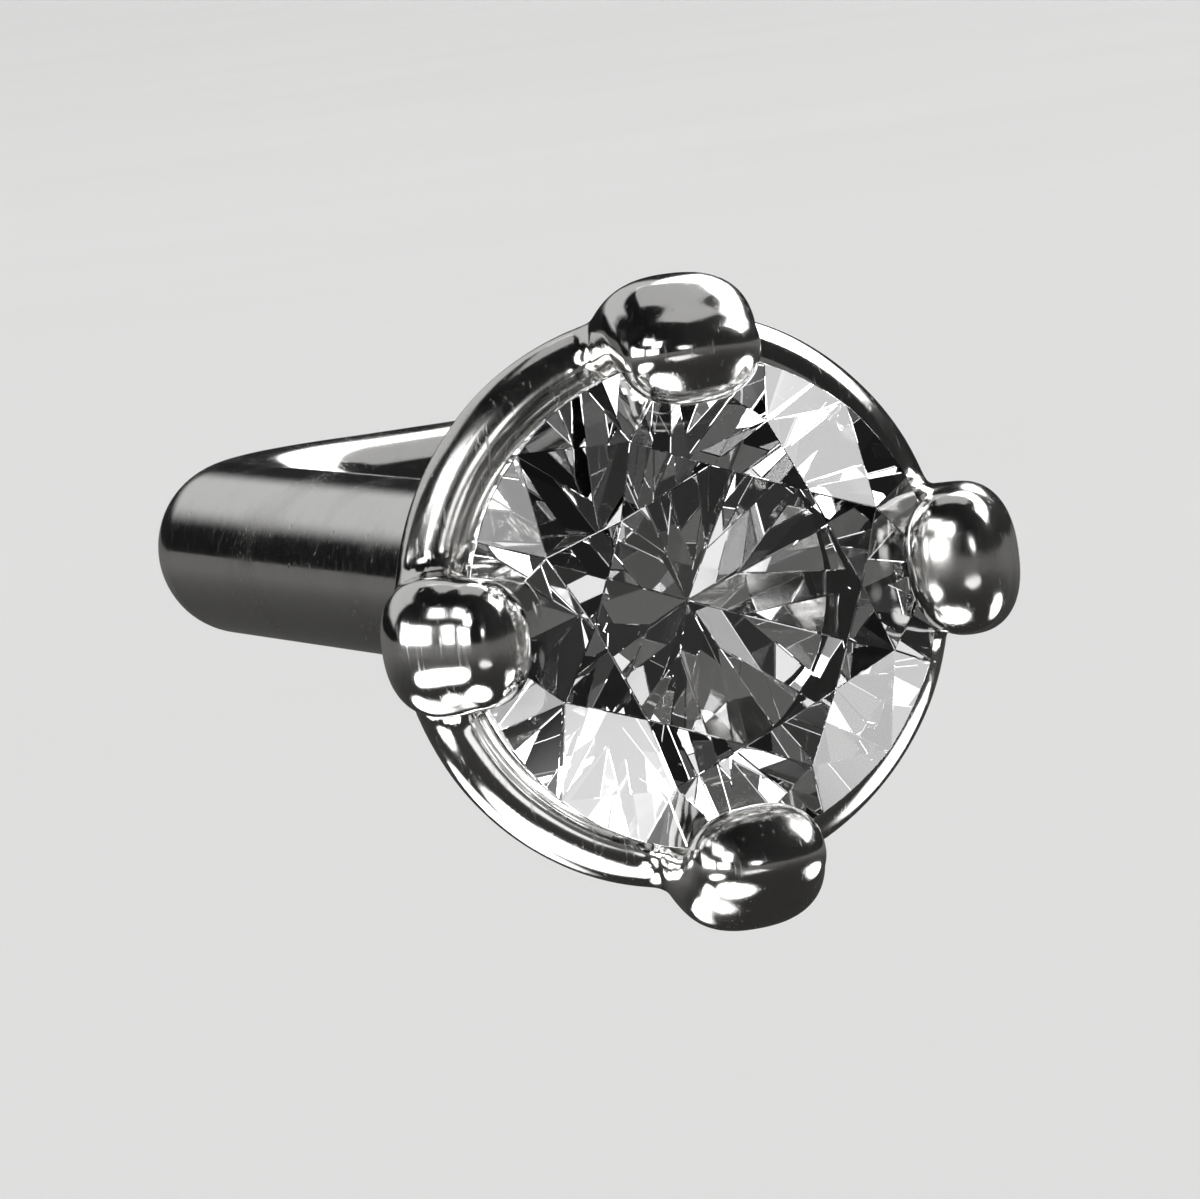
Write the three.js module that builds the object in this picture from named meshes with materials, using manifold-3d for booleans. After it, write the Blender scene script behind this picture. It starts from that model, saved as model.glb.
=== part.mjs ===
// A nose stud: a round brilliant-cut stone held by four claws in an open basket,
// with a plain L-bent post soldered to the back of the basket.
// Sizes are in millimetres. +Z is up. The stone faces -Y, and the post runs along +Y
// and then turns along +X.
// The origin lies on the post's axis, in the plane of the basket's flat back.
// A height is a distance out from that plane, along -Y.

import * as THREE from "three";
import { mergeVertices } from "three/addons/utils/BufferGeometryUtils.js";
import Module from "manifold-3d";

// Stone
const STONE_DIAMETER = 2.0;
const TABLE_DIAMETER = 1.14;
const CROWN_HEIGHT = 0.31;
const GIRDLE_THICKNESS = 0.07;
const PAVILION_DEPTH = 0.86;
const CULET_HEIGHT = 0.38;
const STAR_REACH = 0.5; // share of the way from the table's edge to the girdle
const LOWER_HALF_REACH = 0.78; // share of the way from the girdle to the culet
const MAIN_FACETS = 8;
const GIRDLE_STEPS = 4; // straight steps of the girdle along each half facet

// Back plate, the flat foot of the basket
const BACK_DIAMETER = 1.7;
const BACK_THICKNESS = 0.26;
const BACK_EDGE_ROUND = 0.07;

// Claws
const CLAW_COUNT = 4;
const CLAW_WIDTH = 0.6; // round the girdle
const CLAW_DEPTH = 0.46; // from the stone outwards
const CLAW_OUTSET = 0.35; // beyond the stone's girdle
const CLAW_OVERHANG = 0.17; // over the stone's crown
const CLAW_RISE = 0.04; // above the stone's table

// Gallery rail, the ring that ties the claws together under the girdle
const RAIL_WIRE = 0.3;
const RAIL_DROP = 0.34; // from the girdle's lower edge down to the rail's centre
const RAIL_OUTSET = 0.05; // beyond the claws' centre lines

// Room for the stone in its seat
const SEAT_CLEARANCE = 0.02;

// Post
const POST_DIAMETER = 0.8;
const POST_REACH = 6.5; // from the flat back to the centre of the leg
const POST_BEND_RADIUS = 0.85;
const LEG_LENGTH = 2.9; // from the post's axis to the leg's rounded end

// Fineness of the round forms
const TURNED_STEPS = 56;
const RAIL_SIDES = 14;
const CLAW_SIDES = 20;
const CLAW_RINGS = 15;
const POST_SIDES = 28;
const BEND_RINGS = 8;
const DOME_RINGS = 4;
const EDGE_STEPS = 3;

// A claw's sections, from its foot to its tip.
// rise: share of the height from the foot to the shoulder, which is beside the girdle
// lean: share of the way out from the foot's radius to the shoulder's
// climb: share of the height from the shoulder to where the domed tip begins
// over: share of the way back in from the shoulder's radius to the tip's
// width, depth: shares of CLAW_WIDTH and CLAW_DEPTH
const CLAW_SECTIONS = [
  { rise: 0.0, lean: 0.0, climb: 0.0, over: 0.0, width: 0.84, depth: 0.84 },
  { rise: 0.4, lean: 0.42, climb: 0.0, over: 0.0, width: 0.88, depth: 0.88 },
  { rise: 0.8, lean: 0.85, climb: 0.0, over: 0.0, width: 0.98, depth: 0.97 },
  { rise: 1.0, lean: 1.0, climb: 0.0, over: 0.0, width: 1.0, depth: 1.0 },
  { rise: 1.0, lean: 1.0, climb: 0.5, over: 0.3, width: 0.98, depth: 0.98 },
  { rise: 1.0, lean: 1.0, climb: 1.0, over: 1.0, width: 0.92, depth: 0.92 },
];

// What follows from the sizes above
const stoneRadius = STONE_DIAMETER / 2;
const tableRadius = TABLE_DIAMETER / 2;
const girdleLow = CULET_HEIGHT + PAVILION_DEPTH;
const girdleTop = girdleLow + GIRDLE_THICKNESS;
const tableHeight = girdleTop + CROWN_HEIGHT;
const mainStep = (2 * Math.PI) / MAIN_FACETS;
const halfStep = mainStep / 2;
const tableEdge = tableRadius * Math.cos(halfStep);
const starRadius = tableEdge + STAR_REACH * (stoneRadius - tableEdge);
const lowerHalfRadius = (1 - LOWER_HALF_REACH) * stoneRadius;

const footRadius = (BACK_DIAMETER - CLAW_DEPTH * CLAW_SECTIONS[0].depth) / 2;
const shoulderRadius = stoneRadius + CLAW_OUTSET - CLAW_DEPTH / 2;
const tipDome = (CLAW_DEPTH * CLAW_SECTIONS[CLAW_SECTIONS.length - 1].depth) / 2;
const tipRadius = stoneRadius - CLAW_OVERHANG + tipDome;
const footHeight = BACK_THICKNESS / 2; // of the claws and the post, inside the plate
const shoulderHeight = (girdleLow + girdleTop) / 2;
const tipHeight = tableHeight + CLAW_RISE - tipDome;

// A point at a radius and a turn round the post's axis, and a height out from the flat back.
function at(radius, turn, height) {
  return new THREE.Vector3(radius * Math.cos(turn), -height, radius * Math.sin(turn));
}

// Height of a bezel facet's plane above a point that lies half a facet to its side.
function bezelHeight(radius) {
  const along = radius * Math.cos(halfStep);
  return girdleTop + (CROWN_HEIGHT * (stoneRadius - along)) / (stoneRadius - tableRadius);
}

// The same for a pavilion main facet, below the girdle.
function pavilionHeight(radius) {
  const along = radius * Math.cos(halfStep);
  return girdleLow - PAVILION_DEPTH * (1 - along / stoneRadius);
}

// The girdle's points along one half facet, where the plane through three corners
// meets the stone's round side. The first two corners are on the girdle.
function girdleArc(from, to, corner, height) {
  const plane = new THREE.Plane().setFromCoplanarPoints(
    at(stoneRadius, from, height),
    at(stoneRadius, to, height),
    corner,
  );
  const points = [];
  for (let step = 0; step <= GIRDLE_STEPS; step += 1) {
    const turn = from + ((to - from) * step) / GIRDLE_STEPS;
    const foot = at(stoneRadius, turn, 0);
    const reach = plane.distanceToPoint(foot) / plane.normal.y;
    points.push(foot.setY(foot.y - reach));
  }
  return points;
}

// Triangles of flat facets, each a fan over its corners and turned to face away from a centre.
function facetedBody(facets, centre) {
  const positions = [];
  for (const facet of facets) {
    const [first, second, third] = facet;
    const normal = second.clone().sub(first).cross(third.clone().sub(first));
    const facesIn = normal.dot(first.clone().sub(centre)) < 0;
    const corners = facesIn ? [...facet].reverse() : facet;
    for (let i = 1; i < corners.length - 1; i += 1) {
      for (const corner of [corners[0], corners[i], corners[i + 1]]) {
        positions.push(corner.x, corner.y, corner.z);
      }
    }
  }
  const geometry = new THREE.BufferGeometry();
  geometry.setAttribute("position", new THREE.Float32BufferAttribute(positions, 3));
  return geometry;
}

// The round brilliant cut: table, stars, bezels, upper halves, girdle, lower halves, mains.
function brilliantStone() {
  const culet = at(0, 0, CULET_HEIGHT);
  const table = [];
  const facets = [table];
  for (let main = 0; main < MAIN_FACETS; main += 1) {
    const turn = main * mainStep;
    const before = turn - halfStep;
    const after = turn + halfStep;
    const next = turn + mainStep;
    const tableCorner = at(tableRadius, turn, tableHeight);
    const starBefore = at(starRadius, before, bezelHeight(starRadius));
    const starAfter = at(starRadius, after, bezelHeight(starRadius));
    const lowBefore = at(lowerHalfRadius, before, pavilionHeight(lowerHalfRadius));
    const lowAfter = at(lowerHalfRadius, after, pavilionHeight(lowerHalfRadius));
    table.push(tableCorner);
    facets.push([tableCorner, at(tableRadius, next, tableHeight), starAfter]);
    facets.push([tableCorner, starBefore, at(stoneRadius, turn, girdleTop), starAfter]);
    facets.push([culet, lowBefore, at(stoneRadius, turn, girdleLow), lowAfter]);
    for (const [from, to, star, low] of [
      [turn, after, starAfter, lowAfter],
      [after, next, starAfter, lowAfter],
    ]) {
      const upper = girdleArc(from, to, star, girdleTop);
      const lower = girdleArc(from, to, low, girdleLow);
      facets.push([star, ...upper]);
      facets.push([low, ...lower]);
      for (let step = 0; step < GIRDLE_STEPS; step += 1) {
        facets.push([upper[step], upper[step + 1], lower[step + 1], lower[step]]);
      }
    }
  }
  return facetedBody(facets, at(0, 0, shoulderHeight));
}

// A closed surface over rings of points, ended by a fan to a point at each end.
function closedSurface(rings, startPoint, endPoint) {
  const sides = rings[0].length;
  const points = [...rings.flat(), startPoint, endPoint];
  const start = points.length - 2;
  const end = points.length - 1;
  const last = (rings.length - 1) * sides;
  const index = [];
  for (let side = 0; side < sides; side += 1) {
    const next = (side + 1) % sides;
    index.push(start, next, side, end, last + side, last + next);
    for (let base = 0; base < last; base += sides) {
      index.push(base + side, base + next, base + sides + next);
      index.push(base + side, base + sides + next, base + sides + side);
    }
  }
  const geometry = new THREE.BufferGeometry().setFromPoints(points);
  geometry.setIndex(index);
  return geometry;
}

// A wire over stations, with a flat start and a domed end.
// across, beside and heading are unit vectors, with across x beside = heading.
function domedWire(stations, sides, dome) {
  const tip = stations[stations.length - 1];
  const domed = [...stations];
  for (let ring = 1; ring < DOME_RINGS; ring += 1) {
    const angle = (ring / DOME_RINGS) * (Math.PI / 2);
    domed.push({
      ...tip,
      centre: tip.centre.clone().addScaledVector(tip.heading, dome * Math.sin(angle)),
      halfAcross: tip.halfAcross * Math.cos(angle),
      halfBeside: tip.halfBeside * Math.cos(angle),
    });
  }
  const rings = domed.map((station) => {
    const ring = [];
    for (let side = 0; side < sides; side += 1) {
      const angle = (side / sides) * 2 * Math.PI;
      ring.push(
        station.centre
          .clone()
          .addScaledVector(station.across, station.halfAcross * Math.cos(angle))
          .addScaledVector(station.beside, station.halfBeside * Math.sin(angle)),
      );
    }
    return ring;
  });
  const apex = tip.centre.clone().addScaledVector(tip.heading, dome);
  return closedSurface(rings, stations[0].centre, apex);
}

// Radius and height of a claw's centre line, and its half sizes, at one row of its table.
function clawRow(row) {
  const out = footRadius + row.lean * (shoulderRadius - footRadius);
  const rise = footHeight + row.rise * (shoulderHeight - footHeight);
  return {
    place: new THREE.Vector3(
      out - row.over * (shoulderRadius - tipRadius),
      rise + row.climb * (tipHeight - shoulderHeight),
      0,
    ),
    half: new THREE.Vector3((row.width * CLAW_WIDTH) / 2, (row.depth * CLAW_DEPTH) / 2, 0),
  };
}

// One claw: an oval wire that leans out from the back plate, stands beside the girdle,
// and closes over the crown with a domed tip.
function claw(turn) {
  const rows = CLAW_SECTIONS.map(clawRow);
  const line = new THREE.CatmullRomCurve3(rows.map((row) => row.place));
  const size = new THREE.CatmullRomCurve3(rows.map((row) => row.half));
  const outward = new THREE.Vector3(Math.cos(turn), 0, Math.sin(turn));
  const beside = new THREE.Vector3(-Math.sin(turn), 0, Math.cos(turn));
  const stations = [];
  for (let ring = 0; ring <= CLAW_RINGS; ring += 1) {
    const share = ring / CLAW_RINGS;
    const place = line.getPoint(share);
    const way = line.getTangent(share);
    const half = size.getPoint(share);
    stations.push({
      centre: at(place.x, turn, place.y),
      across: outward.clone().multiplyScalar(way.y).setY(way.x),
      beside,
      heading: outward.clone().multiplyScalar(way.x).setY(-way.y),
      halfAcross: half.y,
      halfBeside: half.x,
    });
  }
  return domedWire(stations, CLAW_SIDES, tipDome);
}

// The post and its leg: one round wire with a single bend.
function bentPost() {
  const radius = POST_DIAMETER / 2;
  const corner = POST_REACH - POST_BEND_RADIUS;
  const station = (x, y, bend) => ({
    centre: new THREE.Vector3(x, y, 0),
    across: new THREE.Vector3(0, 0, 1),
    beside: new THREE.Vector3(Math.cos(bend), -Math.sin(bend), 0),
    heading: new THREE.Vector3(Math.sin(bend), Math.cos(bend), 0),
    halfAcross: radius,
    halfBeside: radius,
  });
  const stations = [station(0, -footHeight, 0)];
  for (let ring = 0; ring <= BEND_RINGS; ring += 1) {
    const bend = (ring / BEND_RINGS) * (Math.PI / 2);
    const x = POST_BEND_RADIUS * (1 - Math.cos(bend));
    const y = corner + POST_BEND_RADIUS * Math.sin(bend);
    stations.push(station(x, y, bend));
  }
  stations.push(station(LEG_LENGTH - radius, POST_REACH, Math.PI / 2));
  return domedWire(stations, POST_SIDES, radius);
}

// A body turned round the post's axis, from rows of [radius, height] that begin and end on it.
// The rows run from the outer end of the axis to the inner one.
function turned(rows) {
  const profile = rows.map(([radius, height]) => new THREE.Vector2(radius, -height));
  return new THREE.LatheGeometry(profile, TURNED_STEPS);
}

// Rows along a quarter round that joins the top or the bottom of a disc to its side.
function roundedEdge(radius, height, round, towards) {
  const rows = [];
  for (let step = 0; step <= EDGE_STEPS; step += 1) {
    const angle = (step / EDGE_STEPS) * (Math.PI / 2);
    rows.push([
      radius - round * (1 - Math.sin(angle)),
      height - towards * round * (1 - Math.cos(angle)),
    ]);
  }
  return rows;
}

function backPlate() {
  const radius = BACK_DIAMETER / 2;
  const outerEdge = roundedEdge(radius, BACK_THICKNESS, BACK_EDGE_ROUND, 1);
  const backEdge = roundedEdge(radius, 0, BACK_EDGE_ROUND, -1).reverse();
  return turned([[0, BACK_THICKNESS], ...outerEdge, ...backEdge, [0, 0]]);
}

// The rail's ring runs through the claws at its own height.
function galleryRail() {
  const height = girdleLow - RAIL_DROP;
  const rise = (height - footHeight) / (shoulderHeight - footHeight);
  const radius = footRadius + rise * (shoulderRadius - footRadius) + RAIL_OUTSET;
  const ring = new THREE.TorusGeometry(radius, RAIL_WIRE / 2, RAIL_SIDES, TURNED_STEPS);
  return ring.rotateX(Math.PI / 2).translate(0, -height, 0);
}

// What the seat's cutter takes away: the stone's outline, larger by the clearance.
function seatCutter() {
  const slope = PAVILION_DEPTH / stoneRadius;
  const pointDrop = SEAT_CLEARANCE * Math.hypot(1, slope);
  const sideRadius = stoneRadius + SEAT_CLEARANCE;
  return turned([
    [0, tableHeight + SEAT_CLEARANCE],
    [tableRadius + SEAT_CLEARANCE, tableHeight + SEAT_CLEARANCE],
    [starRadius + SEAT_CLEARANCE, bezelHeight(starRadius) + SEAT_CLEARANCE],
    [sideRadius, girdleTop + SEAT_CLEARANCE / 2],
    [sideRadius, CULET_HEIGHT - pointDrop + sideRadius * slope],
    [0, CULET_HEIGHT - pointDrop],
  ]);
}

const wasm = await Module();
wasm.setup();

function solidOf(geometry) {
  const bare = new THREE.BufferGeometry();
  bare.setAttribute("position", geometry.getAttribute("position"));
  bare.setIndex(geometry.getIndex());
  const merged = mergeVertices(bare);
  return new wasm.Manifold(
    new wasm.Mesh({
      numProp: 3,
      vertProperties: new Float32Array(merged.getAttribute("position").array),
      triVerts: new Uint32Array(merged.getIndex().array),
    }),
  );
}

function geometryOf(solid) {
  const { numProp, vertProperties, triVerts } = solid.getMesh();
  const positions = [];
  for (let i = 0; i < vertProperties.length; i += numProp) {
    positions.push(vertProperties[i], vertProperties[i + 1], vertProperties[i + 2]);
  }
  const geometry = new THREE.BufferGeometry();
  geometry.setAttribute("position", new THREE.Float32BufferAttribute(positions, 3));
  geometry.setIndex([...triVerts]);
  geometry.computeVertexNormals();
  return geometry;
}

// The basket and the post, soldered into one piece of metal, with the stone's seat cut in it.
function settingAndPost() {
  let metal = solidOf(backPlate()).add(solidOf(galleryRail())).add(solidOf(bentPost()));
  for (let place = 0; place < CLAW_COUNT; place += 1) {
    metal = metal.add(solidOf(claw((place / CLAW_COUNT) * 2 * Math.PI)));
  }
  return geometryOf(metal.subtract(solidOf(seatCutter())));
}

const silver = new THREE.MeshStandardMaterial({
  color: 0xd9d9d6,
  roughness: 0.18,
  metalness: 1.0,
});
const crystal = new THREE.MeshStandardMaterial({
  color: 0xf2f5f7,
  roughness: 0.02,
  metalness: 0.0,
  transparent: true,
  opacity: 0.5,
});

function piece(name, geometry, material) {
  const mesh = new THREE.Mesh(geometry, material);
  mesh.name = name;
  return mesh;
}

const stud = new THREE.Group();
stud.name = "nose_stud";
stud.add(piece("setting_and_post", settingAndPost(), silver));
stud.add(piece("stone", brilliantStone(), crystal));

export default stud;
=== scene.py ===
# A nose stud: a round brilliant-cut stone held by four claws in an open silver basket,
# with a plain bent post soldered to the back of the basket.
# Shapes are worked out in millimetres in the frame's axes, and brought to metres at the end.
# The stone faces -Y, the post runs along +Y, and +Z is up.
# A height is a distance out from the basket's flat back, along -Y.
import math

import bpy
import numpy as np
from mathutils import Matrix, Quaternion, Vector, noise
from mathutils.bvhtree import BVHTree


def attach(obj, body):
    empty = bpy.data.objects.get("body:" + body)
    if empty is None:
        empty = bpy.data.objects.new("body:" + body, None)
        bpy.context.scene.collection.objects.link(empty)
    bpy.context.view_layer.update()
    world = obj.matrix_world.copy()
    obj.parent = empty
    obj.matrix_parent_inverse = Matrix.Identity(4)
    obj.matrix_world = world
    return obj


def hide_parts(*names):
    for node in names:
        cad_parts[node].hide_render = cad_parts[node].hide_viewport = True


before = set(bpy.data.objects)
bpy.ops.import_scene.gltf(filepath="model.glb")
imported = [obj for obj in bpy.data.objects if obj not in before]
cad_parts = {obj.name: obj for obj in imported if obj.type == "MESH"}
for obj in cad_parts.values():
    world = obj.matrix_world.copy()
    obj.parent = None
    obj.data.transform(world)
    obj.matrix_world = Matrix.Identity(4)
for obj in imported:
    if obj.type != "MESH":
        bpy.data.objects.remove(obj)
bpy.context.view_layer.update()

MM = 0.001  # millimetres to metres

# Metal
CLAW_COUNT = 4
CLAW_WIDTH = 0.6  # round the girdle
CLAW_DEPTH = 0.46  # from the stone outwards
CLAW_OVERHANG = 0.17  # over the stone's crown
CLAW_SQUARENESS = 2.4  # 2 gives an oval section, and more gives flatter sides
TIP_FLATNESS = 2.5  # 2 gives a round tip, and more gives a flatter one
RAIL_WIRE = 0.3
RAIL_DROP = 0.34  # from the girdle's lower edge down to the rail's centre
RAIL_OUTSET = 0.05  # beyond the claws' centre lines
BACK_THICKNESS = 0.26
BACK_EDGE_ROUND = 0.07
SOLDER_FILLET = 0.13  # round the post, behind the plate
POST_BEND_RADIUS = 0.85
BEND_SQUEEZE = 0.03  # share by which the wire is squeezed at the middle of its bend
CAST_FILLET = 0.045  # in the corners between claws, rail and plate
SEAT_SHARE = 1.008  # the seat's size over the stone's
HAND_WAVER = 0.004  # how far the cast skin wanders from its true shape
WAVER_LENGTH = 0.35
COLLAR_LAP = 0.01  # how far the solder collar reaches into the post
GIRDLE_SHARE = 0.9999  # of the stone's radius, beyond which a point is on the girdle

# Fineness
SKIN_GRAIN = 0.019  # side of the metal's faces
CLAW_SIDES = 56
CLAW_RINGS = 60
TIP_RINGS = 18
TURNED_STEPS = 120
RAIL_SIDES = 32
POST_SIDES = 72
POST_STEP = 0.12
BEND_RINGS = 28
EDGE_STEPS = 8
SMOOTHING = 0.5  # share by which a round of smoothing evens out the melted skin
SMOOTHING_ROUNDS = 4
SHARP_ANGLE = 40.0  # faces that meet at more than this keep a sharp edge between them

# A claw's sections, from its foot to where its domed tip begins.
# rise: share of the height from the foot to the shoulder, which is beside the girdle
# lean: share of the way out from the foot's radius to the shoulder's
# climb: share of the height from the shoulder to the tip
# over: share of the way back in from the shoulder's radius to the tip's
# wide, deep: shares of the claw's width and depth
CLAW_SECTIONS = [
    {"rise": 0.0, "lean": 0.0, "climb": 0.0, "over": 0.0, "wide": 0.84, "deep": 0.84},
    {"rise": 0.4, "lean": 0.42, "climb": 0.0, "over": 0.0, "wide": 0.86, "deep": 0.88},
    {"rise": 0.8, "lean": 0.85, "climb": 0.0, "over": 0.0, "wide": 0.96, "deep": 0.97},
    {"rise": 1.0, "lean": 1.0, "climb": 0.0, "over": 0.0, "wide": 1.0, "deep": 1.0},
    {"rise": 1.0, "lean": 1.0, "climb": 0.5, "over": 0.3, "wide": 1.0, "deep": 0.98},
    {"rise": 1.0, "lean": 1.0, "climb": 1.0, "over": 1.0, "wide": 0.94, "deep": 0.92},
]

# How each claw came out of the setter's hand, from the right one round by the top.
# swing: degrees round the stone
# wide, deep, over: shares of the true width, depth and overhang
CLAW_HANDWORK = [
    {"swing": 1.0, "wide": 1.05, "deep": 0.99, "over": 0.92},
    {"swing": -1.5, "wide": 1.03, "deep": 0.97, "over": 1.05},
    {"swing": 0.6, "wide": 0.95, "deep": 1.0, "over": 1.1},
    {"swing": 1.8, "wide": 1.0, "deep": 0.98, "over": 0.97},
]

# Metal's finish
SILVER_COLOUR = (0.91, 0.905, 0.89, 1)
SILVER_ROUGHNESS = 0.1
RECESS_REACH = 0.7  # how far away a wall still shelters a point
RECESS_LOOKS = 14
LOOK_START = 0.01  # how far above the skin a look starts
RECESS_FROM = 0.2  # share of what a point faces that is close by, where the painted shade starts
RECESS_FULL = 0.75
# Painted shade: the colour the metal is darkened to where much of what a point faces is close by
RECESS_SHADE_COLOUR = (0.38, 0.365, 0.34, 1)
RECESS_ROUGHENS = 0.22
SILVER_HAZE_SCALE = 1.6
HAZE_DETAIL = 4.0
HAZE_BREAKUP = 0.6
HAZE_FROM = 0.42
HAZE_FULL = 0.72
HAZE_TONE = (0.9, 0.895, 0.885, 1)
HAZE_ROUGHENS = 0.1
SILVER_SCRATCH_FINENESS = 55.0
SILVER_SCRATCH_RARITY = 0.63
SCRATCH_TURNS = [(0.4, 0.2, 0.9), (1.5, 0.8, -0.6), (-0.7, 2.1, 0.3)]
SCRATCH_STRETCH = 0.04
SCRATCH_DETAIL = 1.0
SCRATCH_FULL = 0.8
SCRATCHES_ROUGHEN = 0.14
SCRATCH_DEPTH = -0.1
SKIN_SCALE = 5.0
SKIN_DETAIL = 1.0
PIT_SCALE = 7.0
PIT_MIDDLE = 0.03
PIT_RIM = 0.1
PIT_DEPTH = 0.8
RELIEF_STRENGTH = 0.12
RELIEF_HEIGHT = 0.005

# Stone's finish
STONE_COLOUR = (0.995, 0.997, 1.0, 1)
STONE_IOR = 2.16
STONE_SCRATCH_FINENESS = 90.0
STONE_SCRATCH_RARITY = 0.68
STONE_SCRATCHES_ROUGHEN = 0.02
STONE_FILM_SCALE = 2.5
STONE_FILM_COLOUR = (0.96, 0.965, 0.97, 1)
STONE_FILM_ROUGHENS = 0.006
FACET_EDGE = 0.004
FACET_EDGE_STEPS = 2
FACET_ANGLE = 2.0  # edges between facets that meet at more than this are softened
WELD_REACH = 0.0001

# Camera
PHOTO_AZIMUTH = -17.0
PHOTO_ELEVATION = 4.5
PHOTO_ROLL = -7.5
LENS = 300.0
NEAREST_SEEN = 1.0
PICTURE_WIDTH = 4.9
PICTURE_SHIFT = -0.32  # from the middle of the basket, to the right in the picture
AIM_SHARE = 0.75  # of the height from the back to the girdle

# Surroundings
WHITE = (1, 1, 1, 1)
FLOOR_DROP = 5.5  # from the lowest claw down to the floor
FLOOR_SPAN = 4000.0
FLOOR_COLOUR = (0.80, 0.80, 0.795, 1)
FLOOR_CLOUD_COLOUR = (0.84, 0.84, 0.835, 1)
FLOOR_CLOUD_SCALE = 0.05
FLOOR_CLOUD_DETAIL = 2.0
FLOOR_ROUGHNESS = 0.9
FLOOR_SHINE = 0.1
FLOOR_PAINTED_REFLECTION_NEAR = (0.03, 0.0295, 0.0285, 1)  # painted reflection: what polished surfaces see of the floor, much darker than it is, and darkest near the stud as a painted shadow
FLOOR_PAINTED_REFLECTION_FAR = (0.13, 0.128, 0.125, 1)
FLOOR_MIRRORED_FADE = (5.0, 80.0)  # from near the stud to far away
EVEN_LIGHT = 0.84
BACKDROP_LIGHT = 0.71  # what the camera sees beyond the floor, as bright as the floor itself
ROOM_FADE = (-0.6, 0.9)  # from the left wall to the right one
ROOM_DARK_SIDE = 0.006
ROOM_BRIGHT_SIDE = 0.022

# Round white cards painted on the floor as glowing patches, which only polished surfaces show: painted
# highlights from something that is no lamp
GLOWING_CARDS = [
    {"middle": (-3.0, -2.7), "radius": 3.2, "bright": 5.0},
    {"middle": (-4.9, 4.7), "radius": 3.8, "bright": 2.8},
    {"middle": (11.0, -1.0), "radius": 5.0, "bright": 3.0},
    {"middle": (-2.0, -26.0), "radius": 8.0, "bright": 1.0},
    {"middle": (-17.0, -5.0), "radius": 7.0, "bright": 3.0},
]
GLOWING_CARD_EDGE = 0.8

# Soft boxes that only polished surfaces show: where each stands as seen from the stud,
# half its width and half its height, as angles, and how bright it is
SOFT_BOXES = [
    {"azimuth": -42, "elevation": 29, "wide": 9, "tall": 8, "bright": 6.0},
    {"azimuth": -52, "elevation": 7, "wide": 13, "tall": 8, "bright": 4.0},
    {"azimuth": -66, "elevation": 38, "wide": 12, "tall": 8, "bright": 2.0},
    {"azimuth": -94, "elevation": 4, "wide": 20, "tall": 13, "bright": 4.0},
    {"azimuth": 2, "elevation": 9, "wide": 4, "tall": 3, "bright": 5.0},
    {"azimuth": 88, "elevation": 38, "wide": 18, "tall": 13, "bright": 3.8},
    {"azimuth": 135, "elevation": 40, "wide": 18, "tall": 16, "bright": 3.0},
    {"azimuth": -160, "elevation": 32, "wide": 28, "tall": 20, "bright": 0.5},
]
SOFT_BOX_EDGE = 0.05

# A lamp high up behind, for the floor
LAMP_AZIMUTH = 150.0
LAMP_ELEVATION = 70.0
LAMP_AWAY = 400.0
LAMP_SIZE = 300.0
LAMP_BRIGHT = 0.4

# Shader nodes
NODE_SPACING = 180
MIX_FIRST_COLOUR = 6
MIX_SECOND_COLOUR = 7
MIX_COLOUR_RESULT = 2


def frame_points(node):
    """A CAD node's points, in millimetres."""
    return np.array([point.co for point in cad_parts[node].data.vertices]) / MM


def widest(points, low, high):
    """The largest radius among points whose height lies in a range."""
    height = -points[:, 1]
    band = points[(height >= low) & (height <= high)]
    return float(np.hypot(band[:, 0], band[:, 2]).max())


# What the frame gives
stone_points = frame_points("stone")
metal_points = frame_points("setting_and_post")
stone_radius = float(stone_points[:, 0].max())
stone_radii = np.hypot(stone_points[:, 0], stone_points[:, 2])
girdle_points = stone_points[stone_radii > stone_radius * GIRDLE_SHARE]
girdle_low = float(-girdle_points[:, 1].max())
shoulder_height = float(-girdle_points[:, 1].mean())
claw_reach = float(metal_points[:, 2].max())
claw_top = float(-metal_points[:, 1].min())
back_radius = widest(metal_points, 0.0, BACK_THICKNESS)
far_points = metal_points[metal_points[:, 1] > BACK_THICKNESS]
post_radius = float(far_points[:, 2].max())
post_reach = float(far_points[:, 1].max()) - post_radius
leg_length = float(far_points[:, 0].max())

# What follows from it
foot_height = BACK_THICKNESS / 2
foot_radius = back_radius - CLAW_DEPTH * CLAW_SECTIONS[0]["deep"] / 2
shoulder_radius = claw_reach - CLAW_DEPTH / 2
tip_dome = CLAW_DEPTH * CLAW_SECTIONS[-1]["deep"] / 2
tip_height = claw_top - tip_dome


# Shapes

def at(radius, turn, height):
    """A point at a radius and a turn round the post's axis, and a height."""
    return np.array([radius * math.cos(turn), -height, radius * math.sin(turn)])


def closed_skin(rings, start, end):
    """Points and faces of a body over rings of points, ended by a fan to a point at each end."""
    sides = len(rings[0])
    last = (len(rings) - 1) * sides
    points = np.vstack([*rings, start, end])
    first_tip = len(points) - 2
    faces = []
    for side in range(sides):
        after = (side + 1) % sides
        faces.append((first_tip, after, side))
        faces.append((first_tip + 1, last + side, last + after))
        for base in range(0, last, sides):
            faces.append((base + side, base + after, base + sides + after, base + sides + side))
    return points, faces


def oval(centre, across, beside, half_across, half_beside, sides, squareness=2.0):
    """One section of a wire: a ring of points that goes from across towards beside."""
    angle = np.linspace(0.0, 2 * math.pi, sides, endpoint=False)
    power = 2.0 / squareness
    reach = np.sign(np.cos(angle)) * np.abs(np.cos(angle)) ** power * half_across
    swing = np.sign(np.sin(angle)) * np.abs(np.sin(angle)) ** power * half_beside
    return centre + np.outer(reach, across) + np.outer(swing, beside)


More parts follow.
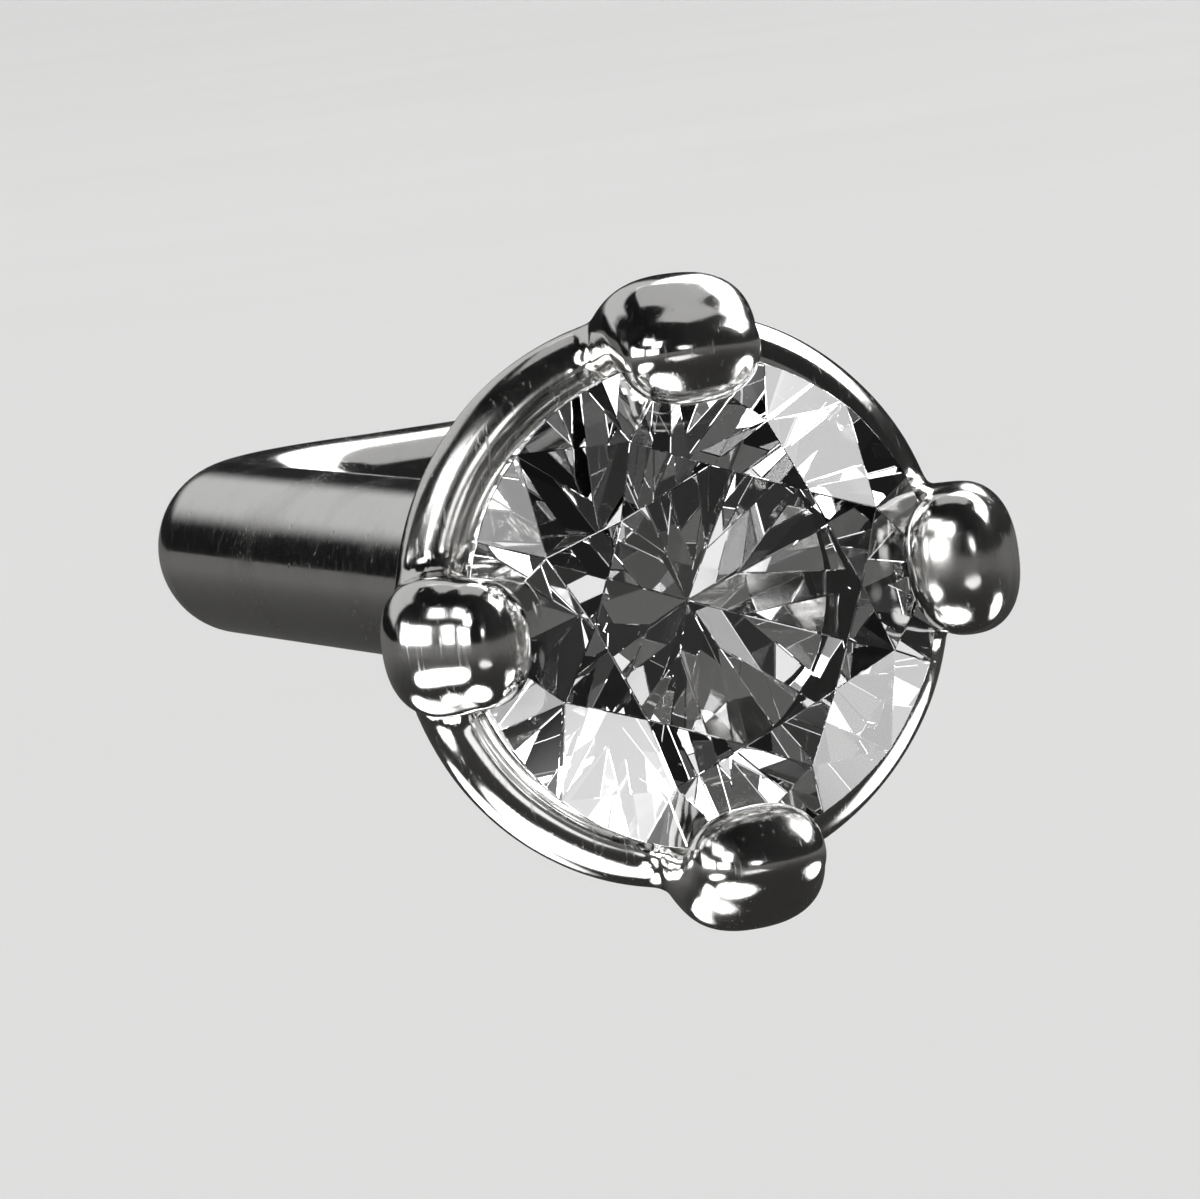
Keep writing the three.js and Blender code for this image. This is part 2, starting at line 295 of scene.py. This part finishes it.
def smooth_line(rows, count):
    """Rows of numbers along a smooth curve that passes through the given rows."""
    rows = np.array(rows, float)
    rows = np.vstack([2 * rows[0] - rows[1], rows, 2 * rows[-1] - rows[-2]])
    line = []
    for share in np.linspace(0, len(rows) - 3, count):
        start = min(int(share), len(rows) - 4)
        t = share - start
        before, here, there, after = rows[start:start + 4]
        line.append(
            here
            + 0.5 * t * (there - before)
            + t * t * (before - 2.5 * here + 2 * there - 0.5 * after)
            + t ** 3 * (-0.5 * before + 1.5 * here - 1.5 * there + 0.5 * after)
        )
    return np.array(line)


def turned(rows):
    """A body turned round the post's axis, from rows of (radius, height) that start and end on it.
    The rows run from the body's back to its front."""
    turns = np.linspace(0.0, 2 * math.pi, TURNED_STEPS, endpoint=False)
    rings = [np.array([at(radius, turn, height) for turn in turns]) for radius, height in rows[1:-1]]
    return closed_skin(rings, at(0, 0, rows[0][1]), at(0, 0, rows[-1][1]))


def quarter_round(radius, height, round_radius, towards):
    """Rows of (radius, height) along a disc's rounded edge, from its flat side to its rim."""
    rows = []
    for angle in np.linspace(0.0, math.pi / 2, EDGE_STEPS):
        inset = round_radius * (1 - math.sin(angle))
        drop = round_radius * (1 - math.cos(angle))
        rows.append((radius - inset, height - towards * drop))
    return rows


def claw(number):
    """One claw: it leans out from the plate, stands beside the girdle and closes over the crown."""
    hand = CLAW_HANDWORK[number]
    turn = 2 * math.pi * number / CLAW_COUNT + math.radians(hand["swing"])
    tip_radius = stone_radius - CLAW_OVERHANG * hand["over"] + tip_dome
    rows = []
    for row in CLAW_SECTIONS:
        out = foot_radius + row["lean"] * (shoulder_radius - foot_radius)
        up = foot_height + row["rise"] * (shoulder_height - foot_height)
        rows.append((
            out - row["over"] * (shoulder_radius - tip_radius),
            up + row["climb"] * (tip_height - shoulder_height),
            row["deep"] * CLAW_DEPTH * hand["deep"] / 2,
            row["wide"] * CLAW_WIDTH * hand["wide"] / 2,
        ))
    line = smooth_line(rows, CLAW_RINGS)
    ways = np.gradient(line[:, :2], axis=0)
    ways /= np.linalg.norm(ways, axis=1)[:, None]
    outward = at(1, turn, 0)
    beside = at(1, turn + math.pi / 2, 0)
    up = np.array([0.0, -1.0, 0.0])
    rings = []
    for (radius, height, half_deep, half_wide), (way_out, way_up) in zip(line, ways):
        across = outward * way_up - up * way_out
        rings.append(oval(at(radius, turn, height), across, beside,
                          half_deep, half_wide, CLAW_SIDES, CLAW_SQUARENESS))
    radius, height, half_deep, half_wide = line[-1]
    way_out, way_up = ways[-1]
    heading = outward * way_out + up * way_up
    tip = at(radius, turn, height)
    for share in np.linspace(0.0, 1.0, TIP_RINGS)[1:-1]:
        along = math.sin(share * math.pi / 2)
        left = (1 - along ** TIP_FLATNESS) ** (1 / TIP_FLATNESS)
        rings.append(oval(tip + heading * tip_dome * along, across, beside,
                          half_deep * left, half_wide * left, CLAW_SIDES, CLAW_SQUARENESS))
    return closed_skin(rings, at(foot_radius, turn, foot_height), tip + heading * tip_dome)


def back_plate():
    """The basket's flat foot, a disc with rounded edges."""
    under = quarter_round(back_radius, 0.0, BACK_EDGE_ROUND, -1)
    over = quarter_round(back_radius, BACK_THICKNESS, BACK_EDGE_ROUND, 1)
    return turned([(0, 0), *under, *over[::-1], (0, BACK_THICKNESS)])


def gallery_rail():
    """The ring of wire that ties the claws together under the girdle."""
    height = girdle_low - RAIL_DROP
    rise = (height - foot_height) / (shoulder_height - foot_height)
    radius = foot_radius + rise * (shoulder_radius - foot_radius) + RAIL_OUTSET
    points = []
    for turn in np.linspace(0.0, 2 * math.pi, TURNED_STEPS, endpoint=False):
        points.append(oval(at(radius, turn, height), at(1, turn, 0), np.array([0.0, 1.0, 0.0]),
                           RAIL_WIRE / 2, RAIL_WIRE / 2, RAIL_SIDES))
    faces = []
    for ring in range(TURNED_STEPS):
        base = ring * RAIL_SIDES
        following = (ring + 1) % TURNED_STEPS * RAIL_SIDES
        for side in range(RAIL_SIDES):
            after = (side + 1) % RAIL_SIDES
            faces.append((base + side, following + side, following + after, base + after))
    return np.vstack(points), faces


def solder_collar():
    """The hollow-sided collar of solder where the post meets the plate."""
    rows = [(0, -SOLDER_FILLET), (post_radius - COLLAR_LAP, -SOLDER_FILLET)]
    for angle in np.linspace(0.0, math.pi / 2, EDGE_STEPS):
        rows.append((
            post_radius + SOLDER_FILLET * (1 - math.cos(angle)),
            -SOLDER_FILLET * (1 - math.sin(angle)),
        ))
    rows += [(post_radius + SOLDER_FILLET, foot_height), (0, foot_height)]
    return turned(rows)


def bent_post():
    """The post and its leg, one round wire with a single bend and a domed end."""
    corner = post_reach - POST_BEND_RADIUS
    sideways = np.array([0.0, 0.0, 1.0])
    stations = [(0.0, y, 0.0) for y in np.arange(-foot_height, corner, POST_STEP)]
    for bend in np.linspace(0.0, math.pi / 2, BEND_RINGS):
        stations.append((
            POST_BEND_RADIUS * (1 - math.cos(bend)),
            corner + POST_BEND_RADIUS * math.sin(bend),
            bend,
        ))
    leg_end = leg_length - post_radius
    for x in np.arange(POST_BEND_RADIUS + POST_STEP, leg_end, POST_STEP):
        stations.append((x, post_reach, math.pi / 2))
    rings = []
    for x, y, bend in stations:
        squeeze = BEND_SQUEEZE * math.sin(2 * bend)
        beside = np.array([math.cos(bend), -math.sin(bend), 0.0])
        rings.append(oval(np.array([x, y, 0.0]), sideways, beside,
                          post_radius * (1 + squeeze / 2), post_radius * (1 - squeeze), POST_SIDES))
    for share in np.linspace(0.0, 1.0, TIP_RINGS)[:-1]:
        along = math.sin(share * math.pi / 2)
        left = math.sqrt(1 - along ** 2)
        rings.append(oval(np.array([leg_end + post_radius * along, post_reach, 0.0]), sideways,
                          np.array([0.0, -1.0, 0.0]), post_radius * left, post_radius * left, POST_SIDES))
    return closed_skin(rings, np.array([0.0, -foot_height, 0.0]), np.array([leg_length, post_reach, 0.0]))


# Pieces

def piece_from(name, bodies):
    """One mesh object that holds several bodies, each given by its points and faces."""
    points, faces = [], []
    for body_points, body_faces in bodies:
        shift = len(points)
        points.extend(body_points.tolist())
        faces.extend(tuple(corner + shift for corner in face) for face in body_faces)
    mesh = bpy.data.meshes.new(name)
    mesh.from_pydata(points, [], faces)
    piece = bpy.data.objects.new(name, mesh)
    bpy.context.scene.collection.objects.link(piece)
    return piece


def read_points(vertices, what):
    """The places or normals of a mesh's vertices, one row each."""
    rows = np.zeros(len(vertices) * 3, np.float32)
    vertices.foreach_get(what, rows)
    return rows.reshape(-1, 3).astype(float)


def write_points(mesh, points):
    """Moves a mesh's vertices to these points."""
    mesh.vertices.foreach_set("co", points.astype(np.float32).ravel())
    mesh.update()


def worked(piece, *steps):
    """Works a piece's mesh with modifiers, each given by its kind and its settings."""
    for kind, settings in steps:
        modifier = piece.modifiers.new(kind.lower(), kind)
        for setting, value in settings.items():
            setattr(modifier, setting, value)
    graph = bpy.context.evaluated_depsgraph_get()
    mesh = bpy.data.meshes.new_from_object(piece.evaluated_get(graph))
    piece.modifiers.clear()
    rough = piece.data
    piece.data = mesh
    bpy.data.meshes.remove(rough)
    return piece


def fused(piece, grain):
    """Melts a piece's bodies into one skin, with a hollow fillet in each inner corner."""
    remesh = ("REMESH", {"mode": "VOXEL", "voxel_size": grain})
    return worked(
        piece,
        remesh,
        ("DISPLACE", {"strength": CAST_FILLET, "mid_level": 0.0}),
        remesh,
        ("DISPLACE", {"strength": -CAST_FILLET, "mid_level": 0.0}),
        ("SMOOTH", {"factor": SMOOTHING, "iterations": SMOOTHING_ROUNDS}),
    )


def wavered(piece):
    """Lets a cast skin wander a little, so that its reflections bend as they do on the real thing."""
    mesh = piece.data
    points = read_points(mesh.vertices, "co")
    ways = read_points(mesh.vertices, "normal")
    wander = np.array([noise.noise(Vector(point)) for point in points / WAVER_LENGTH])
    write_points(mesh, points + ways * (wander * HAND_WAVER)[:, None])


def seat_cutter():
    """The stone itself, a little larger, which cuts its own seat in the claws."""
    cutter = bpy.data.objects.new("seat_cutter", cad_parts["stone"].data.copy())
    bpy.context.scene.collection.objects.link(cutter)
    cutter.data.materials.clear()
    middle = np.array([0.0, -shoulder_height, 0.0])
    write_points(cutter.data, middle + (stone_points - middle) * SEAT_SHARE)
    return worked(cutter, ("WELD", {"merge_threshold": WELD_REACH}))


def cut_and_joined(piece, other, operation):
    """Joins another piece to this one or cuts it away, and uses the other piece up."""
    worked(piece, ("BOOLEAN", {"operation": operation, "object": other, "solver": "MANIFOLD"}))
    bpy.data.objects.remove(other)


def silver_setting():
    """The basket and its post, as one piece of polished metal."""
    claws = [claw(number) for number in range(CLAW_COUNT)]
    piece = piece_from("silver_setting", [*claws, back_plate(), gallery_rail(), solder_collar()])
    fused(piece, SKIN_GRAIN)
    wavered(piece)
    cut_and_joined(piece, piece_from("post", [bent_post()]), "UNION")
    cut_and_joined(piece, seat_cutter(), "DIFFERENCE")
    # Marks how closed in each point is, for the painted shade in the metal's hollows
    mark_recess_shade(piece)
    piece.data.transform(Matrix.Scale(MM, 4))
    piece.data.shade_smooth()
    piece.data.set_sharp_from_angle(angle=math.radians(SHARP_ANGLE))
    piece.data.materials.clear()
    return piece


def mark_recess_shade(piece):
    """Keeps on each point how much of what it faces is close by, as a number named recess, which paints
    shade into the metal's hollows.
    """
    mesh = piece.data
    tree = BVHTree.FromObject(piece, bpy.context.evaluated_depsgraph_get())
    golden = math.pi * (3 - math.sqrt(5))
    looks = []
    for look in range(RECESS_LOOKS):
        rise = 1 - (look + 0.5) / RECESS_LOOKS
        spread = math.sqrt(1 - rise * rise)
        looks.append(Vector((spread * math.cos(look * golden), spread * math.sin(look * golden), rise)))
    up = Vector((0, 0, 1))
    marks = []
    for point in mesh.vertices:
        swing = up.rotation_difference(point.normal)
        start = point.co + point.normal * LOOK_START
        hits = sum(tree.ray_cast(start, swing @ look, RECESS_REACH)[0] is not None for look in looks)
        marks.append(hits / RECESS_LOOKS)
    recess = mesh.attributes.new("recess", "FLOAT", "POINT")
    recess.data.foreach_set("value", marks)


# Shader parts

class Maker:
    """Places nodes in a node tree from left to right, and wires them."""

    def __init__(self, tree):
        self.tree = tree

    def place(self, kind, settings=None, inputs=None):
        """A node with these settings, whose inputs are values or other nodes' outputs.
        An input is given by its name, or by its number where names repeat."""
        node = self.tree.nodes.new(kind)
        node.location = (len(self.tree.nodes) * NODE_SPACING, 0)
        for setting, value in (settings or {}).items():
            setattr(node, setting, value)
        for socket, value in (inputs or {}).items():
            if isinstance(value, bpy.types.NodeSocket):
                self.tree.links.new(value, node.inputs[socket])
            else:
                node.inputs[socket].default_value = value
        return node

    def maths(self, operation, *inputs):
        """A sum, product or the like, of values or other nodes' outputs."""
        node = self.place("ShaderNodeMath", {"operation": operation}, dict(enumerate(inputs)))
        return node.outputs["Value"]

    def eased(self, value, low, high, low_gives=0.0, high_gives=1.0):
        """A value brought smoothly from one range to another."""
        node = self.place("ShaderNodeMapRange", {"interpolation_type": "SMOOTHSTEP"}, {
            "Value": value, "From Min": low, "From Max": high, "To Min": low_gives, "To Max": high_gives,
        })
        return node.outputs["Result"]

    def blended(self, share, first, second, blend="MIX"):
        """A colour between two others, or one laid over the other."""
        node = self.place("ShaderNodeMix", {"data_type": "RGBA", "blend_type": blend}, {
            "Factor": share, MIX_FIRST_COLOUR: first, MIX_SECOND_COLOUR: second,
        })
        return node.outputs[MIX_COLOUR_RESULT]

    def along(self, heading, way):
        """How far a heading goes along a way of length 1."""
        node = self.place("ShaderNodeVectorMath", {"operation": "DOT_PRODUCT"}, {0: heading, 1: way})
        return node.outputs["Value"]

    def finish_with(self, shader):
        output = self.place("ShaderNodeOutputMaterial")
        self.tree.links.new(shader.outputs[0], output.inputs["Surface"])


def new_group(name, inputs, output):
    """An empty node group with named sockets, and its maker, input node and output node."""
    group = bpy.data.node_groups.new(name, "ShaderNodeTree")
    for socket, kind in inputs:
        group.interface.new_socket(socket, in_out="INPUT", socket_type=kind)
    group.interface.new_socket(output, in_out="OUTPUT", socket_type="NodeSocketFloat")
    maker = Maker(group)
    return group, maker, maker.place("NodeGroupInput"), maker.place("NodeGroupOutput")


def hairline_scratches():
    """Fine straight marks that polishing and wear leave, in three directions."""
    group, maker, entry, leave = new_group(
        "hairline_scratches",
        [("Place", "NodeSocketVector"), ("Fineness", "NodeSocketFloat"), ("Rarity", "NodeSocketFloat")],
        "Lines",
    )
    total = 0.0
    for turn in SCRATCH_TURNS:
        stretched = maker.place("ShaderNodeMapping", inputs={
            "Vector": entry.outputs["Place"], "Rotation": turn, "Scale": (1.0, 1.0, SCRATCH_STRETCH),
        })
        lines = maker.place("ShaderNodeTexNoise", inputs={
            "Vector": stretched.outputs["Vector"], "Scale": entry.outputs["Fineness"],
            "Detail": SCRATCH_DETAIL,
        })
        kept = maker.eased(lines.outputs["Fac"], entry.outputs["Rarity"], SCRATCH_FULL)
        total = maker.maths("MAXIMUM", total, kept)
    group.links.new(total, leave.inputs["Lines"])
    return group


def handling_haze():
    """Soft patches where the polish is a little duller."""
    group, maker, entry, leave = new_group(
        "handling_haze",
        [("Place", "NodeSocketVector"), ("Patch Scale", "NodeSocketFloat")],
        "Haze",
    )
    cloud = maker.place("ShaderNodeTexNoise", inputs={
        "Vector": entry.outputs["Place"], "Scale": entry.outputs["Patch Scale"],
        "Detail": HAZE_DETAIL, "Roughness": HAZE_BREAKUP,
    })
    group.links.new(maker.eased(cloud.outputs["Fac"], HAZE_FROM, HAZE_FULL), leave.inputs["Haze"])
    return group


def new_material(name):
    """A material with an empty tree, its maker, and the place on the piece in millimetres."""
    material = bpy.data.materials.new(name)
    material.use_nodes = True
    material.node_tree.nodes.clear()
    maker = Maker(material.node_tree)
    where = maker.place("ShaderNodeTexCoord")
    place = maker.place("ShaderNodeVectorMath", {"operation": "SCALE"}, {
        "Vector": where.outputs["Object"], "Scale": 1 / MM,
    })
    return material, maker, place.outputs["Vector"]


def polished_silver(scratches, haze):
    """Bright white metal: fine scratches, duller patches, small casting pits, and painted shade in the
    recesses.
    """
    material, maker, place = new_material("polished_silver")
    lines = maker.place("ShaderNodeGroup", {"node_tree": scratches}, {
        "Place": place, "Fineness": SILVER_SCRATCH_FINENESS, "Rarity": SILVER_SCRATCH_RARITY,
    }).outputs["Lines"]
    dull = maker.place("ShaderNodeGroup", {"node_tree": haze}, {
        "Place": place, "Patch Scale": SILVER_HAZE_SCALE,
    }).outputs["Haze"]
    mark = maker.place("ShaderNodeAttribute", {"attribute_name": "recess"})
    # Painted shade: the metal darkens where much of what a point faces is close by
    deep = maker.eased(mark.outputs["Fac"], RECESS_FROM, RECESS_FULL)
    cells = maker.place("ShaderNodeTexVoronoi", inputs={"Vector": place, "Scale": PIT_SCALE})
    smooth_metal = maker.eased(cells.outputs["Distance"], PIT_MIDDLE, PIT_RIM)
    skin = maker.place("ShaderNodeTexNoise", inputs={
        "Vector": place, "Scale": SKIN_SCALE, "Detail": SKIN_DETAIL,
    }).outputs["Fac"]

    colour = maker.blended(deep, SILVER_COLOUR, RECESS_SHADE_COLOUR)
    colour = maker.blended(dull, colour, HAZE_TONE, "MULTIPLY")
    rough = maker.maths("MULTIPLY_ADD", dull, HAZE_ROUGHENS, SILVER_ROUGHNESS)
    rough = maker.maths("MULTIPLY_ADD", lines, SCRATCHES_ROUGHEN, rough)
    rough = maker.maths("MULTIPLY_ADD", deep, RECESS_ROUGHENS, rough)
    height = maker.maths("MULTIPLY_ADD", lines, SCRATCH_DEPTH, skin)
    height = maker.maths("MULTIPLY_ADD", smooth_metal, PIT_DEPTH, height)
    relief = maker.place("ShaderNodeBump", inputs={
        "Strength": RELIEF_STRENGTH, "Distance": RELIEF_HEIGHT * MM, "Height": height,
    })
    maker.finish_with(maker.place("ShaderNodeBsdfPrincipled", inputs={
        "Metallic": 1.0, "Base Color": colour, "Roughness": rough, "Normal": relief.outputs["Normal"],
    }))
    return material


def clear_stone(scratches, haze):
    """Colourless cut stone: sharp and glassy, with faint wipe marks on its facets."""
    material, maker, place = new_material("clear_stone")
    lines = maker.place("ShaderNodeGroup", {"node_tree": scratches}, {
        "Place": place, "Fineness": STONE_SCRATCH_FINENESS, "Rarity": STONE_SCRATCH_RARITY,
    }).outputs["Lines"]
    film = maker.place("ShaderNodeGroup", {"node_tree": haze}, {
        "Place": place, "Patch Scale": STONE_FILM_SCALE,
    }).outputs["Haze"]
    tint = maker.blended(film, STONE_COLOUR, STONE_FILM_COLOUR)
    rough = maker.maths("MULTIPLY", lines, STONE_SCRATCHES_ROUGHEN)
    rough = maker.maths("MULTIPLY_ADD", film, STONE_FILM_ROUGHENS, rough)
    maker.finish_with(maker.place("ShaderNodeBsdfPrincipled", inputs={
        "Metallic": 0.0, "IOR": STONE_IOR, "Transmission Weight": 1.0,
        "Base Color": tint, "Roughness": rough,
    }))
    return material


def pale_floor():
    """A plain pale sheet with the slightest unevenness. Polished surfaces see it through a painted
    reflection, darker than the sheet and darkest near the stud as a painted shadow, with glowing cards
    painted on it as painted highlights.
    """
    material, maker, place = new_material("pale_floor")
    cloud = maker.place("ShaderNodeTexNoise", inputs={
        "Vector": place, "Scale": FLOOR_CLOUD_SCALE, "Detail": FLOOR_CLOUD_DETAIL,
    }).outputs["Fac"]
    path = maker.place("ShaderNodeLightPath")
    mirrored = maker.maths("MAXIMUM", path.outputs["Is Glossy Ray"], path.outputs["Is Transmission Ray"])
    colour = maker.blended(cloud, FLOOR_COLOUR, FLOOR_CLOUD_COLOUR)
    # Painted reflection: polished surfaces see the floor dark, darkest near the stud as a painted shadow
    out = maker.place("ShaderNodeVectorMath", {"operation": "LENGTH"}, {0: place}).outputs["Value"]
    seen = maker.blended(maker.eased(out, *FLOOR_MIRRORED_FADE), FLOOR_PAINTED_REFLECTION_NEAR, FLOOR_PAINTED_REFLECTION_FAR)
    colour = maker.blended(mirrored, colour, seen)
    # Painted glow: the cards shine only in polished surfaces, as painted highlights
    glow = 0.0
    for glowing_card in GLOWING_CARDS:
        middle = (*glowing_card["middle"], -claw_reach - FLOOR_DROP)
        off = maker.place("ShaderNodeVectorMath", {"operation": "DISTANCE"}, {0: place, 1: middle})
        shown = maker.eased(off.outputs["Value"], glowing_card["radius"] - GLOWING_CARD_EDGE, glowing_card["radius"] + GLOWING_CARD_EDGE,
                            glowing_card["bright"], 0.0)
        glow = maker.maths("ADD", glow, shown)
    maker.finish_with(maker.place("ShaderNodeBsdfPrincipled", inputs={
        "Base Color": colour, "Roughness": FLOOR_ROUGHNESS, "Specular IOR Level": FLOOR_SHINE,
        "Emission Color": WHITE, "Emission Strength": maker.maths("MULTIPLY", glow, mirrored),
    }))
    return material


# Scene

def dress_stone(material):
    """Gives the stone its finish, flat facets and very slightly softened facet edges."""
    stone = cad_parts["stone"]
    stone.data.materials.clear()
    stone.data.materials.append(material)
    stone.data.attributes.remove(stone.data.attributes["custom_normal"])
    stone.data.shade_flat()
    weld = stone.modifiers.new("weld", "WELD")
    weld.merge_threshold = WELD_REACH * MM
    soften = stone.modifiers.new("soften", "BEVEL")
    soften.width = FACET_EDGE * MM
    soften.segments = FACET_EDGE_STEPS
    soften.limit_method = "ANGLE"
    soften.angle_limit = math.radians(FACET_ANGLE)


def lay_floor(material):
    half = FLOOR_SPAN / 2
    depth = -claw_reach - FLOOR_DROP
    corners = np.array([
        (-half, -half, depth),
        (half, -half, depth),
        (half, half, depth),
        (-half, half, depth),
    ])
    floor = piece_from("floor", [(corners * MM, [(0, 1, 2, 3)])])
    floor.data.materials.append(material)


def look_back(azimuth, elevation):
    """The direction from the object to a viewer, where azimuth 0 looks along +Y."""
    a = math.radians(azimuth)
    e = math.radians(elevation)
    return Vector((math.sin(a) * math.cos(e), -math.cos(a) * math.cos(e), math.sin(e)))


def place_camera():
    data = bpy.data.cameras.new("camera")
    data.lens = LENS
    data.clip_start = NEAREST_SEEN * MM
    data.clip_end = 2 * FLOOR_SPAN * MM
    camera = bpy.data.objects.new("camera", data)
    bpy.context.scene.collection.objects.link(camera)
    back = look_back(PHOTO_AZIMUTH, PHOTO_ELEVATION)
    roll = Quaternion((0, 0, 1), math.radians(PHOTO_ROLL))
    turn = (-back).to_track_quat("-Z", "Y") @ roll
    aim = Vector((0, -shoulder_height * AIM_SHARE, 0)) + turn @ Vector((PICTURE_SHIFT, 0, 0))
    distance = PICTURE_WIDTH * LENS / data.sensor_width
    camera.rotation_mode = "QUATERNION"
    camera.rotation_quaternion = turn
    camera.location = (aim + back * distance) * MM
    bpy.context.scene.camera = camera


def hang_lamp():
    light = bpy.data.lights.new("lamp", "AREA")
    light.shape = "SQUARE"
    light.size = LAMP_SIZE * MM
    light.energy = LAMP_BRIGHT * math.pi * light.size ** 2
    lamp = bpy.data.objects.new("lamp", light)
    bpy.context.scene.collection.objects.link(lamp)
    back = look_back(LAMP_AZIMUTH, LAMP_ELEVATION)
    lamp.rotation_mode = "QUATERNION"
    lamp.rotation_quaternion = back.to_track_quat("Z", "Y")
    lamp.location = back * LAMP_AWAY * MM
    lamp.visible_camera = False


def soft_box(maker, heading, box):
    """How brightly a soft box shows along a heading: a rectangle with soft edges."""
    out = look_back(box["azimuth"], box["elevation"])
    right = out.cross(Vector((0, 0, 1))).normalized()
    glow = maker.eased(maker.along(heading, out), 0.0, SOFT_BOX_EDGE, 0.0, box["bright"])
    for way, half in ((right, box["wide"]), (right.cross(out), box["tall"])):
        off = maker.maths("ABSOLUTE", maker.along(heading, way))
        reach = math.sin(math.radians(half))
        shown = maker.eased(off, reach - SOFT_BOX_EDGE, reach + SOFT_BOX_EDGE, 1.0, 0.0)
        glow = maker.maths("MULTIPLY", glow, shown)
    return glow


def light_the_room():
    """Even white light on everything matt, and a darker room with soft boxes in the polished surfaces."""
    world = bpy.data.worlds.new("room")
    world.use_nodes = True
    world.node_tree.nodes.clear()
    maker = Maker(world.node_tree)
    heading = maker.place("ShaderNodeTexCoord").outputs["Generated"]
    glow = maker.eased(maker.along(heading, (1, 0, 0)), *ROOM_FADE, ROOM_DARK_SIDE, ROOM_BRIGHT_SIDE)
    for box in SOFT_BOXES:
        glow = maker.maths("ADD", glow, soft_box(maker, heading, box))
    path = maker.place("ShaderNodeLightPath")
    seen = path.outputs["Is Camera Ray"]
    matt = maker.maths("MAXIMUM", seen, path.outputs["Is Diffuse Ray"])
    white = maker.maths("MULTIPLY_ADD", seen, BACKDROP_LIGHT - EVEN_LIGHT, EVEN_LIGHT)
    mirrored = maker.place("ShaderNodeBackground", inputs={"Color": WHITE, "Strength": glow})
    even = maker.place("ShaderNodeBackground", inputs={"Color": WHITE, "Strength": white})
    mix = maker.place("ShaderNodeMixShader", inputs={
        0: matt, 1: mirrored.outputs[0], 2: even.outputs[0],
    })
    output = maker.place("ShaderNodeOutputWorld")
    world.node_tree.links.new(mix.outputs[0], output.inputs["Surface"])
    world.cycles.sampling_method = "NONE"  # so that the floor is lit by the even light alone
    bpy.context.scene.world = world


bpy.context.scene.view_settings.view_transform = "Standard"  # so that white stays white
place_camera()
scratches = hairline_scratches()
haze = handling_haze()
dress_stone(clear_stone(scratches, haze))
setting = silver_setting()
setting.data.materials.append(polished_silver(scratches, haze))
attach(setting, "root")
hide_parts("setting_and_post")
lay_floor(pale_floor())
hang_lamp()
light_the_room()
